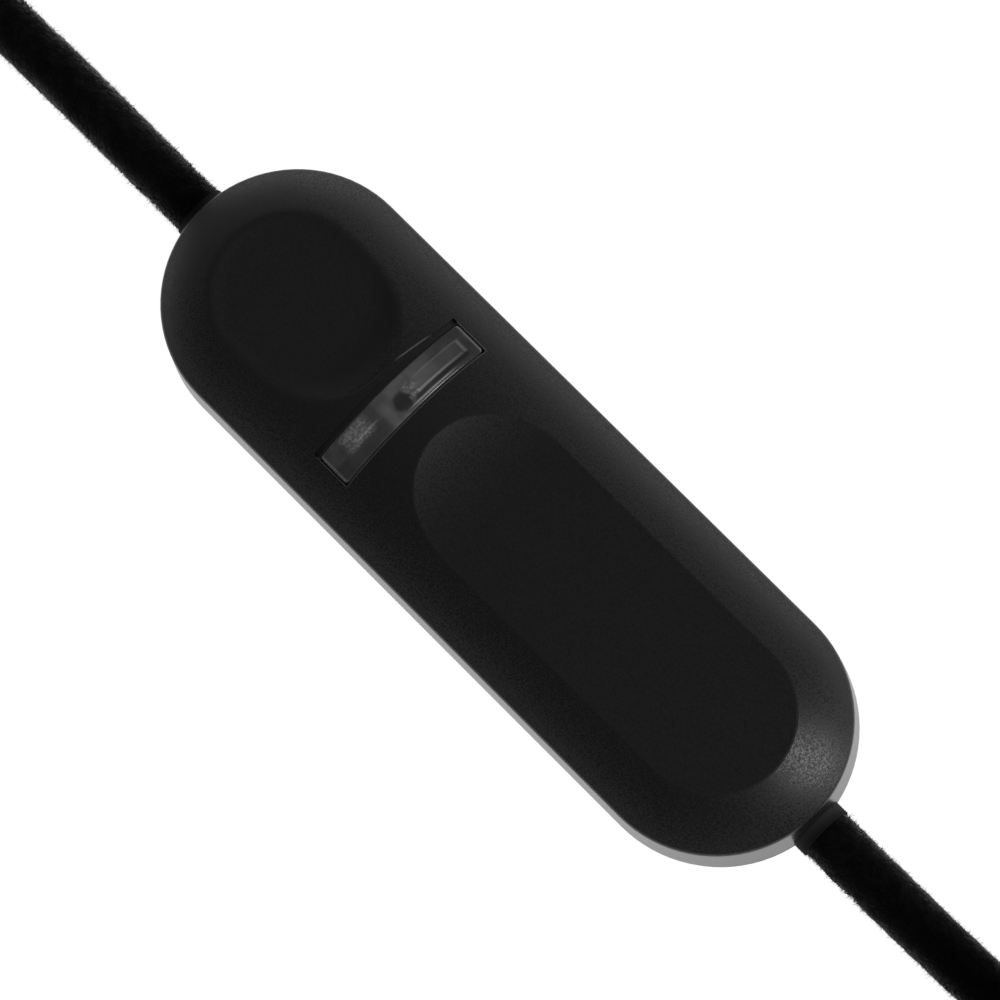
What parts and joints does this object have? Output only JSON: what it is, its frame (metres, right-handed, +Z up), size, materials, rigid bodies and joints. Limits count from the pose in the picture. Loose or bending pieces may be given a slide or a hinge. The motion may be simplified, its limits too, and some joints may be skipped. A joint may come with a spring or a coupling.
{
  "type": "inline cord dimmer",
  "caption": "Pill-shaped black inline touch dimmer with a domed top, flat touch areas and a clear light bar, on a textile mains cord with a plug and a bare lamp end.",
  "frame": {"origin": "middle of the casing's flat underside", "axes": "+X along the casing towards the plug, +Y across it, +Z up out of the touch areas"},
  "size_m": [0.433, 0.0458, 0.0356],
  "materials": {
    "cover_black": "fine spark grain on the top, satin skirt",
    "base_black": "satin",
    "smoky_clear": "smoky translucent, half frosted",
    "screw_steel": "zinc plated",
    "board_green": "solder mask",
    "contact_gold": "plated",
    "chip_black": "moulded",
    "led_white": "clear lens on a white body",
    "terminal_green": "moulded",
    "film_yellow": "dipped box",
    "can_black": "sleeved can",
    "ferrite": "sintered",
    "copper": "enamelled wire",
    "spreader_alu": "bent sheet",
    "fuse_ceramic": "white tube",
    "nickel": "nickel plated",
    "textile_black": "braided textile sleeve, napped",
    "core_brown": "wire insulation",
    "core_blue": "wire insulation",
    "tie_black": "woven strap",
    "plug_black": "moulded on the cord"
  },
  "bodies": {
    "root": {"top_cover": "cover_black", "base_cover": "base_black", "light_guide": "smoky_clear", "cover_screws": "screw_steel", "power_board": "board_green", "board_screws": "screw_steel", "round_touch_board": "board_green", "long_touch_board": "board_green", "touch_contacts": "contact_gold", "touch_controller": "chip_black", "led_riser": "board_green", "indicator_led": "led_white", "mains_terminal": "terminal_green", "lamp_terminal": "terminal_green", "terminal_screws": "screw_steel", "film_capacitor": "film_yellow", "reservoir_capacitor": "can_black", "choke_core": "ferrite", "choke_winding": "copper", "power_transistors": "chip_black", "heat_spreader": "spreader_alu", "fuse_tube": "fuse_ceramic", "fuse_caps": "nickel", "controller_chip": "chip_black", "chip_resistors": "chip_black", "mains_clamp": "base_black", "lamp_clamp": "base_black", "clamp_screws": "screw_steel", "mains_sleeve": "base_black", "lamp_sleeve": "base_black", "mains_live_core": "core_brown", "mains_neutral_core": "core_blue", "lamp_live_core": "core_brown", "lamp_neutral_core": "core_blue", "mains_cord": "textile_black", "lamp_cord": "textile_black", "mains_hank": "textile_black", "mains_ties": "tie_black", "mains_tail": "textile_black", "mains_plug": "plug_black", "mains_plug_pins": "nickel", "lamp_hank": "textile_black", "lamp_ties": "tie_black", "lamp_end_live_core": "core_brown", "lamp_end_neutral_core": "core_blue", "lamp_end_ferrules": "nickel"}
  },
  "joints": []
}
